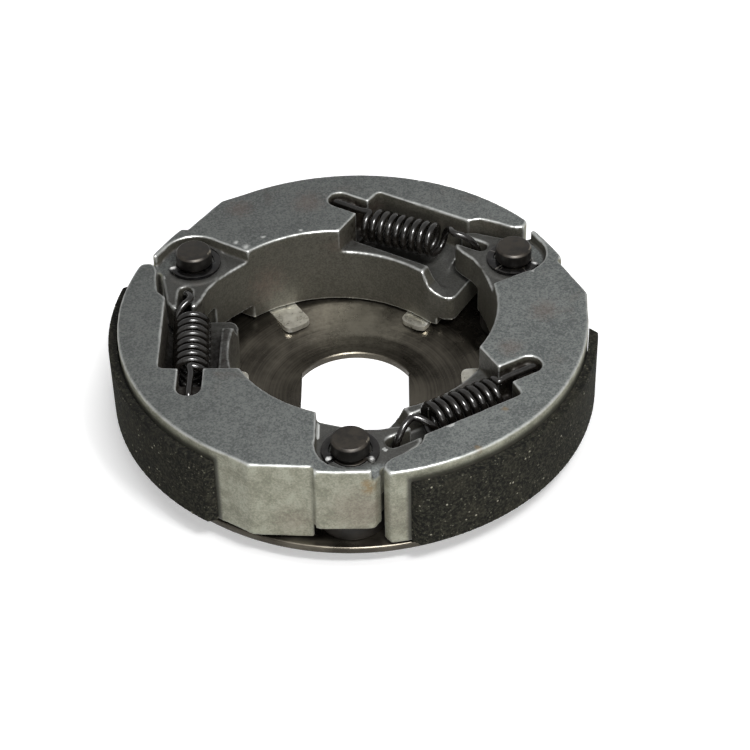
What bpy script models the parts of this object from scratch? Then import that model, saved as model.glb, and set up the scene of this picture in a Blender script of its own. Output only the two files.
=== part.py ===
"""Centrifugal clutch: three hinged shoes with bonded linings on a dished backplate.

Metres, +Z up. The clutch axis is the Z axis and the underside of the dished centre is z = 0.
Each shoe is drawn in one common plan frame with its pivot pin at (0, -PIN_CIRCLE_R), and its
three copies stand 120 degrees apart.
"""
import math

import bmesh
import bpy
import numpy as np

MM = 0.001
COPIES = 3
GAP = 0.05 * MM
ROUND_SEGS = 4

# Main sizes, which the rest follows
SHOE_R = 51.0 * MM
PIN_INSET = 9.6 * MM
PLATE_INSET = 0.2 * MM
PIN_CIRCLE_R = SHOE_R - PIN_INSET
PIN_Y = -PIN_CIRCLE_R
NEXT_PIN_Y = PIN_CIRCLE_R / 2

# Backplate
PLATE_R = SHOE_R - PLATE_INSET
PLATE_T = 1.8 * MM
PLATE_EDGE = 0.5 * MM
DISH_DEPTH = 3.0 * MM
DISH_R = 29.3 * MM
DISH_BLEND = 1.8 * MM
HUB_FLAT_R = 17.0 * MM
HUB_BLEND = 2.8 * MM
HUB_BLEND_RISE = 0.3 * MM
BORE_R = 14.1 * MM
BORE_HALF_FLAT = 12.05 * MM
TONGUE_TIP_R = 23.8 * MM
TONGUE_SEAT = 1.7 * MM
TONGUE_ROOT_R = DISH_R + TONGUE_SEAT
TONGUE_W = 6.4 * MM
TONGUE_ROUND = 1.3 * MM
TONGUE_T = 1.2 * MM
TONGUE_RISE = 0.3 * MM
TONGUE_OFF_DEG = 32.5
PLATE_SEGS = 60

# Pivot pins, their spacers and retaining clips
PIN_R = 4.0 * MM
PIN_TOP_Z = 27.0 * MM
PIN_CHAMFER = 0.45 * MM
SHANK_R = 3.0 * MM
RIVET_R = 4.6 * MM
RIVET_H = 1.2 * MM
RIVET_CHAMFER = 0.4 * MM
GROOVE_R = 3.1 * MM
GROOVE_SPARE = 0.05 * MM
SPACER_R = 7.3 * MM
SPACER_EDGE = 0.4 * MM
CLIP_R = 6.0 * MM
CLIP_T = 0.9 * MM
CLIP_RELIEF_R = 4.4 * MM
CLIP_OPEN_DEG = 52.0
CLIP_PRONG_DEG = 22.0
CLIP_BACK_DEG = 20.0
ROUND_SIDES = 24
RUN_CLEAR = 0.06 * MM

# Shoes
SHOE_LIFT = 0.7 * MM
SHOE_H = 19.9 * MM
SHOE_CHAMFER = 0.6 * MM
BORE_INSET = 22.0 * MM
BORE_ARC_R = SHOE_R - BORE_INSET
BORE_ARC_C = (2.0 * MM, -4.0 * MM)
BORE_FROM_X = -8.3 * MM
BORE_ARC_END_DEG = 163.0
TIP_Y = NEXT_PIN_Y - 2.42 * MM
TIP_DEG = 180.0 - math.degrees(math.asin(TIP_Y / SHOE_R))
TIP_ROUND = 1.3 * MM
ARC_END_DEG = 241.0
LEDGE_INSET = 25.1 * MM
LEDGE_ROUND = 2.4 * MM
ARM_END = [(7.3, -7.5, 0), (7.3, -5.1, 0), (6.8, -3.5, 0.3), (5.8, -2.25, 0)]
LUG_OUTLINE = [(-20.4, -6.05, 1.2), (-7.5, -6.85, 0), (-7.2, -8.25, 0.4), (-3.0, -8.55, 0),
               (5.3, -8.55, 1.8), (5.4, -6.2, 0), (6.5, -4.5, 1.0), (13.8, 1.8, 1.6), (14.8, 4.0, 1.2),
               (13.8, 6.4, 0.8), (11.6, 8.2, 0.8), (9.0, 8.0, 0), (5.5, 7.3, 0), (2.0, 7.4, 0),
               (-2.0, 8.3, 0), (-5.6, 9.4, 0)]
LUG_DROP = 2.8 * MM
LUG_RAISE = 3.8 * MM
NOSE_UNDER_DROP = 9.8 * MM
BOSS_R = 7.2 * MM
BOSS_FROM_DEG = -42.0
BOSS_TO_DEG = 62.0
RECESS_R = 7.25 * MM
RECESS_X = 7.1 * MM
RECESS_REACH = (4.4 * MM, -7.3 * MM)
SEAT_R = 7.0 * MM
SEAT_H = 0.3 * MM
FLOOR_H = 8.9 * MM
POCKET_INSET = 10.0 * MM
POCKET_SLANT = 0.4 * MM
RIB_DROP = 6.0 * MM
RIB_INSET = 22.0 * MM
RIB_OUTER_X = RIB_INSET - SHOE_R
RIB_END_Y = NEXT_PIN_Y - 18.1 * MM
END_WALL_Y = PIN_Y + 23.8 * MM
FLOOR_END_Y = NEXT_PIN_Y - 10.1 * MM
WALL_INSET = 7.6 * MM
TROUGH_INSET = 19.5 * MM
TROUGH_RISE = 6.4 * MM
TROUGH_SEGS = 7
TROUGH_END_Y = NEXT_PIN_Y - 15.9 * MM
UNDER_STEP_Y = NEXT_PIN_Y - 14.1 * MM
UNDER_STEP_H = 2.4 * MM
UNDER_STEP_SIDE = 0.6 * MM
SLOT_R = 2.65 * MM
SLOT_INSET = 17.0 * MM
SLOT_X = SLOT_INSET - SHOE_R
SLOT_END_Y = PIN_Y + 17.8 * MM
SLOT_DROP = 9.0 * MM
SADDLE_FROM_Y = PIN_Y + 21.1 * MM
SADDLE_DROP = 2.15 * MM
SADDLE_ROUND = 1.3 * MM
NOTCH_R = 0.9 * MM
NOTCH_Y = PIN_Y + 16.1 * MM
NOTCH_DROP = 6.8 * MM
NOSE_SLOT_R = 1.58 * MM
NOSE_SLOT_DEG = 30.0
NOSE_SLOT_REST = 0.2 * MM
NOSE_SLOT_LENGTH = 12.0 * MM
STEP_CLEAR = 0.4 * MM

# Linings
LINING_T = 2.0 * MM
BOND_GAP = 0.2 * MM
LINING_FROM_DEG = 163.7
LINING_TO_DEG = 237.3
LINING_BEVEL_DEG = 1.8
LINING_BOTTOM = 0.3 * MM
LINING_DROP = 3.0 * MM
LINING_R = SHOE_R + BOND_GAP + LINING_T

# Return springs
WIRE_R = 0.75 * MM
COIL_R = 3.4 * MM
COIL_TURNS = 8.75
COIL_START_INSET = 16.7 * MM
COIL_START = (COIL_START_INSET - SHOE_R, PIN_Y + 25.7 * MM)
COIL_START_DROP = 4.6 * MM
COIL_END_INSET = 15.9 * MM
COIL_END = (COIL_END_INSET - SHOE_R, NEXT_PIN_Y - 18.8 * MM)
COIL_END_DROP = 3.6 * MM
COIL_STEPS = 8
WIRE_SIDES = 6
NOSE_HOOK_INSET = 13.7 * MM
NOSE_HOOK = (NOSE_HOOK_INSET - SHOE_R, NEXT_PIN_Y - 9.3 * MM)
OWN_HOOK = [(0.0, -4.4), (0.0, -2.0), (0.05, -0.9), (0.65, -0.1), (1.8, 0.05)]
OWN_STRAIGHT = [3.2, 5.8]
HALF_LOOP = [(-0.9, 0.9, -1.7), (-0.55, 2.2, -0.5), (-0.15, 3.8, 0.0)]
FAR_HOOK = [(1.2, -3.6, -0.4), (0.4, -1.8, -1.8), (0.0, -0.6, -3.8), (0.0, 0.0, -6.2), (0.0, -0.2, -8.2)]

# Damper posts and rubbers
DAMPER_INSET = 10.0 * MM
DAMPER_XY = (DAMPER_INSET - SHOE_R) * math.sqrt(0.5)
DAMPER_POS = (DAMPER_XY, DAMPER_XY)
POST_R = 2.5 * MM
POST_H = 7.2 * MM
POST_HEAD = 1.6 * MM
RUBBER_R = 4.5 * MM
RUBBER_H = 7.6 * MM
RUBBER_EDGE = 0.5 * MM
DAMPER_HOLE_SPARE = 0.15 * MM
DAMPER_HOLE_H = 8.6 * MM
DAMPER_TRAVEL = 1.9 * MM

PLATE_TOP_Z = DISH_DEPTH + PLATE_T
SHOE_BOTTOM_Z = PLATE_TOP_Z + SHOE_LIFT
SHOE_TOP_Z = SHOE_BOTTOM_Z + SHOE_H
LUG_TOP_Z = SHOE_TOP_Z - LUG_DROP
LUG_BOTTOM_Z = SHOE_BOTTOM_Z + LUG_RAISE
LUG_STEP_X = -(SPACER_R + STEP_CLEAR)
CLIP_SEAT = SEAT_H + 0.05 * MM
FAR = 80.0 * MM


def clear_scene():
    """Remove whatever the new file holds."""
    for obj in list(bpy.data.objects):
        bpy.data.objects.remove(obj, do_unlink=True)


def material(name, colour, metallic, roughness):
    """One Principled material."""
    mat = bpy.data.materials.new(name)
    mat.use_nodes = True
    shader = mat.node_tree.nodes["Principled BSDF"]
    shader.inputs["Base Color"].default_value = (*colour, 1.0)
    shader.inputs["Metallic"].default_value = metallic
    shader.inputs["Roughness"].default_value = roughness
    return mat


def arc(centre, radius, start_deg, end_deg, steps):
    """Points along an arc, both ends included."""
    angles = np.radians(np.linspace(start_deg, end_deg, steps + 1))
    return [(centre[0] + radius * math.cos(a), centre[1] + radius * math.sin(a)) for a in angles]


def rounded(corners):
    """Outline through (x, y, radius) corners, each corner with a radius turned into a short arc."""
    out = []
    count = len(corners)
    for i, (x, y, radius) in enumerate(corners):
        here = np.array([x, y])
        if radius <= 0:
            out.append((x, y))
            continue
        back = np.array(corners[i - 1][:2]) - here
        ahead = np.array(corners[(i + 1) % count][:2]) - here
        u = back / np.linalg.norm(back)
        v = ahead / np.linalg.norm(ahead)
        half = math.acos(float(np.clip(u @ v, -1, 1))) / 2
        reach = min(radius / math.tan(half), 0.48 * np.linalg.norm(back), 0.48 * np.linalg.norm(ahead))
        first, last = here + u * reach, here + v * reach
        for k in range(ROUND_SEGS + 1):
            t = k / ROUND_SEGS
            out.append(tuple((1 - t) ** 2 * first + 2 * t * (1 - t) * here + t * t * last))
    return out


def new_object(name, verts, faces, mat=None):
    """A mesh object with outward normals."""
    mesh = bpy.data.meshes.new(name)
    mesh.from_pydata([tuple(v) for v in verts], [], faces)
    bm = bmesh.new()
    bm.from_mesh(mesh)
    bmesh.ops.remove_doubles(bm, verts=bm.verts, dist=1e-7)
    bmesh.ops.recalc_face_normals(bm, faces=bm.faces)
    bm.to_mesh(mesh)
    bm.free()
    obj = bpy.data.objects.new(name, mesh)
    bpy.context.collection.objects.link(obj)
    if mat:
        mesh.materials.append(mat)
    return obj


def prism(name, outline, low, high, mat=None):
    """A plan outline raised from one height to another."""
    n = len(outline)
    verts = [(x, y, low) for x, y in outline] + [(x, y, high) for x, y in outline]
    faces = [tuple(range(n))[::-1], tuple(range(n, 2 * n))]
    faces += [(i, (i + 1) % n, n + (i + 1) % n, n + i) for i in range(n)]
    return new_object(name, verts, faces, mat)


def side_prism(name, profile, x_low, x_high):
    """A (y, z) profile drawn out along X."""
    n = len(profile)
    verts = [(x_low, y, z) for y, z in profile] + [(x_high, y, z) for y, z in profile]
    faces = [tuple(range(n))[::-1], tuple(range(n, 2 * n))]
    faces += [(i, (i + 1) % n, n + (i + 1) % n, n + i) for i in range(n)]
    return new_object(name, verts, faces)


def section_prism(name, section, y_low, y_high):
    """An (x, z) section drawn out along Y."""
    n = len(section)
    verts = [(x, y_low, z) for x, z in section] + [(x, y_high, z) for x, z in section]
    faces = [tuple(range(n)), tuple(range(n, 2 * n))[::-1]]
    faces += [(i, n + i, n + (i + 1) % n, (i + 1) % n) for i in range(n)]
    return new_object(name, verts, faces)


def turned(name, profile, sides, mat=None):
    """A (radius, z) profile turned about Z; a radius of zero closes on the axis."""
    verts, rings = [], []
    for radius, z in profile:
        if radius <= 0:
            rings.append([len(verts)] * sides)
            verts.append((0.0, 0.0, z))
            continue
        rings.append(list(range(len(verts), len(verts) + sides)))
        for k in range(sides):
            a = 2 * math.pi * (k + 0.5) / sides
            verts.append((radius * math.cos(a), radius * math.sin(a), z))
    faces = []
    on_axis = profile[0][0] <= 0
    pairs = list(zip(rings, rings[1:])) if on_axis else list(zip(rings, rings[1:] + rings[:1]))
    for low, high in pairs:
        for k in range(sides):
            m = (k + 1) % sides
            corner = []
            for v in (low[k], low[m], high[m], high[k]):
                if v not in corner:
                    corner.append(v)
            faces.append(tuple(corner))
    return new_object(name, verts, faces, mat)


def combine(target, tool, operation):
    """Cut or join a tool into the target and drop the tool."""
    mod = target.modifiers.new("combine", "BOOLEAN")
    mod.operation = operation
    mod.solver = "EXACT"
    mod.object = tool
    depsgraph = bpy.context.evaluated_depsgraph_get()
    baked = bpy.data.meshes.new_from_object(target.evaluated_get(depsgraph))
    old = target.data
    target.modifiers.clear()
    target.data = baked
    bpy.data.meshes.remove(old)
    tool_mesh = tool.data
    bpy.data.objects.remove(tool, do_unlink=True)
    bpy.data.meshes.remove(tool_mesh)


def cut(target, tool):
    combine(target, tool, "DIFFERENCE")


def stadium(start, end, radius, steps=8):
    """A slot outline between two end centres."""
    heading = math.degrees(math.atan2(end[1] - start[1], end[0] - start[0]))
    return (arc(start, radius, heading + 90, heading + 270, steps)
            + arc(end, radius, heading - 90, heading + 90, steps))


def at_pivot(points):
    """Plan points moved so that the pivot pin's axis is the origin."""
    return [(x, y + PIN_CIRCLE_R) for x, y in points]


def shoe_outline():
    """The whole plan outline of one shoe, from the arm's tip round by the lug and back by the bore."""
    points = arc((0, 0), SHOE_R, TIP_DEG, ARC_END_DEG, 20)
    tip = [points[0] + (TIP_ROUND,), points[1] + (0,)]
    lug = [(x * MM, y * MM - PIN_CIRCLE_R, r * MM) for x, y, r in LUG_OUTLINE]
    points += rounded([points[-1] + (0,)] + lug)[1:]
    start = -math.degrees(math.acos((BORE_FROM_X - BORE_ARC_C[0]) / BORE_ARC_R))
    points += arc(BORE_ARC_C, BORE_ARC_R, start, BORE_ARC_END_DEG - 360, 14)
    end = [(LEDGE_INSET - SHOE_R, FLOOR_END_Y, LEDGE_ROUND), (WALL_INSET - SHOE_R, FLOOR_END_Y, 0)]
    end += [(inset * MM - SHOE_R, NEXT_PIN_Y + y * MM, r * MM) for inset, y, r in ARM_END]
    points += rounded([points[-1] + (0,)] + end + tip)[1:-1]
    return points[1:]


def chamfer_top(obj, width):
    """Break the upper rim of a prism."""
    bm = bmesh.new()
    bm.from_mesh(obj.data)
    top = max(v.co.z for v in bm.verts)
    rim = [e for e in bm.edges if all(abs(v.co.z - top) < GAP for v in e.verts)]
    bmesh.ops.bevel(bm, geom=rim, offset=width, segments=1, affect="EDGES", clamp_overlap=True)
    bm.to_mesh(obj.data)
    bm.free()


def pocket_outline():
    """The spring pocket and the scoop for the next shoe's lug."""
    wall, end, near = END_WALL_Y, FLOOR_END_Y, NEXT_PIN_Y
    corners = [(POCKET_INSET, wall + POCKET_SLANT, 1.2 * MM), (POCKET_INSET + 4.4 * MM, wall, 0),
               (RIB_INSET, wall, 0), (RIB_INSET, end + 3 * MM, 0), (WALL_INSET, end + 3 * MM, 0),
               (WALL_INSET, end, 0), (WALL_INSET + 0.3 * MM, near - 12.3 * MM, 0),
               (POCKET_INSET - 0.9 * MM, near - 13.7 * MM, 0.5 * MM),
               (POCKET_INSET - 0.1 * MM, near - 14.3 * MM, 0)]
    return rounded([(inset - SHOE_R, y, r) for inset, y, r in corners])


def trough_profile():
    """Section of the pocket in (x, z): a flat floor that curves up as a quarter ellipse to the arm."""
    floor, high = SHOE_BOTTOM_Z + FLOOR_H, SHOE_TOP_Z + 5 * MM
    foot, wall = TROUGH_INSET - SHOE_R, WALL_INSET - SHOE_R
    turns = np.radians(np.linspace(0, 90, TROUGH_SEGS + 1))
    curve = [(foot + (wall - foot) * math.sin(t), floor + TROUGH_RISE * (1 - math.cos(t))) for t in turns]
    return [(FAR, floor)] + curve + [(-FAR, floor + TROUGH_RISE), (-FAR, high), (FAR, high)]


def pocket_tool(high):
    """What is cut for the pocket: the trough where the spring lies, a flat floor at the arm's end."""
    floor = SHOE_BOTTOM_Z + FLOOR_H
    reach = TROUGH_END_Y + PIN_CIRCLE_R
    room = section_prism("trough", trough_profile(), -FAR, reach)
    flat = [(2 * FAR, floor), (-2 * FAR, floor), (-2 * FAR, high + MM), (2 * FAR, high + MM)]
    combine(room, section_prism("end_floor", flat, reach - GAP, 2 * FAR), "UNION")
    tool = prism("pocket", at_pivot(pocket_outline()), SHOE_BOTTOM_Z + MM, high)
    combine(tool, room, "INTERSECT")
    return tool


def recess_outline():
    """The lowered seat round the pin, open towards the nose, drawn about the pin."""
    x, y = RECESS_REACH
    points = [(-RECESS_X, FAR), (-RECESS_X, 0.4 * RECESS_R)]
    points += arc((0, 0), RECESS_R, 180, 277, 10)
    return points + [(x, y), (x, -FAR), (FAR, -FAR), (FAR, FAR)]


def rib_profile():
    """Everything above the rib, the run down from its end and the ledge beyond."""
    top = SHOE_TOP_Z - RIB_DROP
    floor = SHOE_BOTTOM_Z + FLOOR_H
    fall = top - floor
    ramp = [(RIB_END_Y, top), (RIB_END_Y + 0.8 * MM, top - 0.3 * fall),
            (RIB_END_Y + 1.9 * MM, top - 0.7 * fall), (RIB_END_Y + 3.4 * MM, top - 0.9 * fall),
            (RIB_END_Y + 5.4 * MM, floor)]
    high = SHOE_TOP_Z + 5 * MM
    return [(END_WALL_Y, top)] + ramp + [(FLOOR_END_Y + 3 * MM, floor), (FLOOR_END_Y + 3 * MM, high),
                                         (END_WALL_Y, high)]


def damper_hole():
    """Plan of the blind hole over a damper: round at rest, long enough for the shoe's swing."""
    x, y = DAMPER_POS
    px, py = x, y + PIN_CIRCLE_R
    length = math.hypot(px, py)
    way = (py / length, -px / length)
    end = (x + way[0] * DAMPER_TRAVEL, y + way[1] * DAMPER_TRAVEL)
    return stadium((x, y), end, RUBBER_R + DAMPER_HOLE_SPARE, 10)


def nose_slot_outline():
    """The open slot in the nose for the neighbour's far hook, which is turned back about the axis."""
    turn = -2 * math.pi / COPIES * (COPIES - 1)
    x = NOSE_HOOK[0] * math.cos(turn) - NOSE_HOOK[1] * math.sin(turn)
    y = NOSE_HOOK[0] * math.sin(turn) + NOSE_HOOK[1] * math.cos(turn) + PIN_CIRCLE_R
    a = math.radians(NOSE_SLOT_DEG)
    near = (x - NOSE_SLOT_REST * math.cos(a), y - NOSE_SLOT_REST * math.sin(a))
    far = (x + NOSE_SLOT_LENGTH * math.cos(a), y + NOSE_SLOT_LENGTH * math.sin(a))
    return stadium(near, far, NOSE_SLOT_R)


def slot_tool(high):
    """What is cut for a spring's own hook: a deep slot, a saddle left standing in it, a notch beyond."""
    slot = stadium((SLOT_X, SLOT_END_Y), (SLOT_X, END_WALL_Y + 3 * MM), SLOT_R)
    tool = prism("hook_slot", at_pivot(slot), SHOE_TOP_Z - SLOT_DROP, high)
    top, front = SHOE_TOP_Z - SADDLE_DROP, SADDLE_FROM_Y + PIN_CIRCLE_R
    back = SLOT_END_Y - SLOT_R - MM + PIN_CIRCLE_R
    bend = arc((front - SADDLE_ROUND, top - SADDLE_ROUND), SADDLE_ROUND, 0, 90, 5)
    low = SHOE_TOP_Z - SLOT_DROP - MM
    saddle = [(back, low), (front, low)] + bend + [(back, top)]
    cut(tool, side_prism("saddle", saddle, SLOT_X - SLOT_R - MM, SLOT_X + SLOT_R + MM))
    notch = arc((SLOT_X, NOTCH_Y), NOTCH_R, 0, 360, 12)[:-1]
    combine(tool, prism("notch", at_pivot(notch), SHOE_TOP_Z - NOTCH_DROP, high - MM), "UNION")
    return tool


def shoe_mesh(mat):
    """One cast shoe, its origin on the pivot axis."""
    high = SHOE_TOP_Z + 5 * MM
    low = SHOE_BOTTOM_Z - 5 * MM
    shoe = prism("shoe_master", at_pivot(shoe_outline()), SHOE_BOTTOM_Z, SHOE_TOP_Z)
    chamfer_top(shoe, SHOE_CHAMFER)
    cut(shoe, pocket_tool(high))
    profile = [(y + PIN_CIRCLE_R, z) for y, z in rib_profile()]
    cut(shoe, side_prism("over_rib", profile, RIB_OUTER_X - 0.6 * MM, -12 * MM))
    cut(shoe, slot_tool(high))
    recess = prism("recess", recess_outline(), LUG_TOP_Z, high)
    seat = arc((0, 0), SEAT_R, 0, 360, 32)[:-1]
    cut(recess, prism("seat_ring", seat, low, LUG_TOP_Z + SEAT_H))
    cut(shoe, recess)
    under = [(LUG_STEP_X, -FAR), (FAR, -FAR), (FAR, FAR / 4), (LUG_STEP_X, FAR / 4)]
    cut(shoe, prism("under_lug", under, low, LUG_BOTTOM_Z))
    near, left = UNDER_STEP_Y + PIN_CIRCLE_R, WALL_INSET + UNDER_STEP_SIDE - SHOE_R
    ledge = [(left, near), (0, near), (0, FAR), (left, FAR)]
    cut(shoe, prism("under_ledge", ledge, low, SHOE_BOTTOM_Z + UNDER_STEP_H))
    boss = arc((0, 0), BOSS_R, BOSS_FROM_DEG, BOSS_TO_DEG, 8)
    clear = boss + [(boss[-1][0], FAR), (FAR, FAR), (FAR, boss[0][1])]
    cut(shoe, prism("under_nose", clear, low, SHOE_TOP_Z - NOSE_UNDER_DROP))
    cut(shoe, prism("nose_slot", nose_slot_outline(), low, high))
    bore = arc((0, 0), (PIN_R + RUN_CLEAR) / math.cos(math.pi / ROUND_SIDES), 0, 360, ROUND_SIDES)[:-1]
    cut(shoe, prism("pivot_hole", bore, low, high))
    cut(shoe, prism("damper_hole", at_pivot(damper_hole()), low, SHOE_BOTTOM_Z + DAMPER_HOLE_H))
    shoe.data.materials.clear()
    shoe.data.materials.append(mat)
    return shoe


def lining_outline():
    """Plan of the bonded lining, its outer edge shorter so that both ends slope."""
    inner = arc((0, 0), SHOE_R + BOND_GAP, LINING_TO_DEG, LINING_FROM_DEG, 18)
    outer = arc((0, 0), LINING_R, LINING_FROM_DEG + LINING_BEVEL_DEG,
                LINING_TO_DEG - LINING_BEVEL_DEG, 18)
    return inner + outer


def coil_path():
    """Centre line of a return spring, hook to hook, in the shoe's plan frame."""
    x0, y0 = COIL_START
    x1, y1 = COIL_END
    z0 = SHOE_TOP_Z - COIL_START_DROP
    z1 = SHOE_TOP_Z - COIL_END_DROP
    top = z0 + COIL_R
    points = [(SLOT_X, NOTCH_Y + along * MM, top + up * MM) for along, up in OWN_HOOK]
    points += [(SLOT_X, SLOT_END_Y + along * MM, top) for along in OWN_STRAIGHT]
    total = int(COIL_TURNS * COIL_STEPS)
    for k in range(total + 1):
        t = k / total
        a = 2 * math.pi * COIL_TURNS * t
        points.append((x0 + (x1 - x0) * t + COIL_R * math.sin(a), y0 + (y1 - y0) * t,
                       z0 + (z1 - z0) * t + COIL_R * math.cos(a)))
    end_x, end_y = NOSE_HOOK
    top = z1 + COIL_R
    points += [(x1 + across * COIL_R, y1 + along * MM, top + up * MM) for across, along, up in HALF_LOOP]
    points += [(end_x + x * MM, end_y + y * MM, top + up * MM) for x, y, up in FAR_HOOK]
    return points


def wire(name, path, radius, sides, mat):
    """A round wire along a path, its frames carried along without twist."""
    pts = np.array(path)
    tangents = np.gradient(pts, axis=0)
    tangents /= np.linalg.norm(tangents, axis=1)[:, None]
    normal = np.cross(tangents[0], [1.0, 0.0, 0.0])
    normal /= np.linalg.norm(normal)
    verts = []
    for p, t in zip(pts, tangents):
        normal = normal - t * (normal @ t)
        normal /= np.linalg.norm(normal)
        side = np.cross(t, normal)
        for k in range(sides):
            a = 2 * math.pi * k / sides
            verts.append(p + radius * (math.cos(a) * normal + math.sin(a) * side))
    faces = []
    for i in range(len(pts) - 1):
        for k in range(sides):
            m = (k + 1) % sides
            faces.append((i * sides + k, i * sides + m, (i + 1) * sides + m, (i + 1) * sides + k))
    last = (len(pts) - 1) * sides
    faces.append(tuple(range(sides))[::-1])
    faces.append(tuple(range(last, last + sides)))
    return new_object(name, verts, faces, mat)


def clip_outline():
    """An E-shaped retaining clip, its opening facing away from the clutch axis."""
    grip = GROOVE_R + GROOVE_SPARE
    a0 = -90 + CLIP_OPEN_DEG
    a1 = 270 - CLIP_OPEN_DEG
    back0 = 90 - CLIP_BACK_DEG
    back1 = 90 + CLIP_BACK_DEG
    outer = arc((0, 0), CLIP_R, a0, a1, 22)
    inner = arc((0, 0), grip, a1, a1 - CLIP_PRONG_DEG, 3)
    inner += arc((0, 0), CLIP_RELIEF_R, a1 - CLIP_PRONG_DEG, back1, 7)
    inner += arc((0, 0), grip, back1, back0, 4)
    inner += arc((0, 0), CLIP_RELIEF_R, back0, a0 + CLIP_PRONG_DEG, 7)
    inner += arc((0, 0), grip, a0 + CLIP_PRONG_DEG, a0, 3)
    return outer + inner


def plate_mesh(mat):
    """The dished backplate with its D-shaped bore, six tongues and the holes of pins and posts."""
    t, e = PLATE_T, PLATE_EDGE
    top = [(HUB_FLAT_R, t), (HUB_FLAT_R + HUB_BLEND, t + HUB_BLEND_RISE),
           (DISH_R - DISH_BLEND, PLATE_TOP_Z - 0.5 * MM), (DISH_R, PLATE_TOP_Z), (PLATE_R - e, PLATE_TOP_Z)]
    rim = [(PLATE_R, PLATE_TOP_Z - e), (PLATE_R, DISH_DEPTH + e)]
    bottom = [(PLATE_R - e, DISH_DEPTH), (DISH_R - 0.4 * MM, DISH_DEPTH),
              (DISH_R - DISH_BLEND - 0.4 * MM, DISH_DEPTH - 0.5 * MM),
              (HUB_FLAT_R + HUB_BLEND - 0.4 * MM, HUB_BLEND_RISE), (HUB_FLAT_R - 0.4 * MM, 0.0)]
    plate = turned("backplate", [(0, t)] + top + rim + bottom + [(0, 0)], PLATE_SEGS)
    z = PLATE_TOP_Z + TONGUE_RISE
    for i in range(COPIES):
        for sign in (-1, 1):
            a = math.radians(90 + 360 / COPIES * i + sign * TONGUE_OFF_DEG)
            half = TONGUE_W / 2
            flat = rounded([(TONGUE_TIP_R, -half, TONGUE_ROUND), (TONGUE_ROOT_R, -half, 0),
                            (TONGUE_ROOT_R, half, 0), (TONGUE_TIP_R, half, TONGUE_ROUND)])
            turn = [(x * math.cos(a) - y * math.sin(a), x * math.sin(a) + y * math.cos(a)) for x, y in flat]
            combine(plate, prism("tongue", turn, z - TONGUE_T, z), "UNION")
    corner = math.degrees(math.acos(BORE_HALF_FLAT / BORE_R))
    hole = arc((0, 0), BORE_R, corner, 180 - corner, 14)
    hole += arc((0, 0), BORE_R, 180 + corner, 360 - corner, 14)
    cut(plate, prism("bore", hole, -5 * MM, 10 * MM))
    for i in range(COPIES):
        a = 2 * math.pi * i / COPIES
        for (x, y), r in (((0, -PIN_CIRCLE_R), SHANK_R), (DAMPER_POS, POST_R)):
            centre = (x * math.cos(a) - y * math.sin(a), x * math.sin(a) + y * math.cos(a))
            reach = (r + GAP) / math.cos(math.pi / ROUND_SIDES)
            hole = arc(centre, reach, 0, 360, ROUND_SIDES)[:-1]
            cut(plate, prism("rivet_hole", hole, -5 * MM, 10 * MM))
    plate.data.materials.clear()
    plate.data.materials.append(mat)
    return plate


def pin_profile():
    """A pivot pin: riveted head, shank in the plate, shoulder, clip groove and chamfered top."""
    low = DISH_DEPTH - GAP
    seat = LUG_TOP_Z + CLIP_SEAT - GROOVE_SPARE
    return [(0, low - RIVET_H), (RIVET_R - RIVET_CHAMFER, low - RIVET_H),
            (RIVET_R, low - RIVET_H + RIVET_CHAMFER), (RIVET_R, low), (SHANK_R, low),
            (SHANK_R, PLATE_TOP_Z + GAP), (PIN_R, PLATE_TOP_Z + GAP), (PIN_R, seat), (GROOVE_R, seat),
            (GROOVE_R, seat + CLIP_T + 2 * GROOVE_SPARE), (PIN_R, seat + CLIP_T + 2 * GROOVE_SPARE),
            (PIN_R, PIN_TOP_Z - PIN_CHAMFER), (PIN_R - PIN_CHAMFER, PIN_TOP_Z), (0, PIN_TOP_Z)]


def spacer_profile():
    """The thick washer between backplate and lug."""
    r0 = PIN_R + 2 * GAP
    low, high, e = PLATE_TOP_Z + GAP, LUG_BOTTOM_Z - 2 * GAP, SPACER_EDGE
    return [(r0, low), (SPACER_R, low), (SPACER_R, high - e), (SPACER_R - e, high), (r0, high)]


def post_profile():
    """A riveted post that carries a damper rubber."""
    low = DISH_DEPTH - GAP
    top = PLATE_TOP_Z + POST_H
    head = POST_R + POST_HEAD
    return [(0, low - RIVET_H), (head - RIVET_CHAMFER, low - RIVET_H), (head, low - RIVET_H + RIVET_CHAMFER),
            (head, low), (POST_R, low), (POST_R, top - RIVET_CHAMFER), (POST_R - RIVET_CHAMFER, top),
            (0, top)]


def rubber_profile():
    """The rubber bush round a damper post."""
    r0 = POST_R + 2 * GAP
    low, high, e = PLATE_TOP_Z + GAP, PLATE_TOP_Z + RUBBER_H, RUBBER_EDGE
    return [(r0, low), (RUBBER_R, low), (RUBBER_R, high - e), (RUBBER_R - e, high), (r0, high)]


def place(master, stem, spot):
    """Three copies of a piece round the clutch axis, each with its origin at the given plan spot."""
    for i in range(COPIES):
        a = 2 * math.pi * i / COPIES
        obj = master if i == 0 else bpy.data.objects.new(stem, master.data)
        obj.name = f"{stem}_{i + 1}"
        if i:
            bpy.context.collection.objects.link(obj)
        x, y = spot
        obj.location = (x * math.cos(a) - y * math.sin(a), x * math.sin(a) + y * math.cos(a), 0.0)
        obj.rotation_euler = (0.0, 0.0, a)


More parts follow.
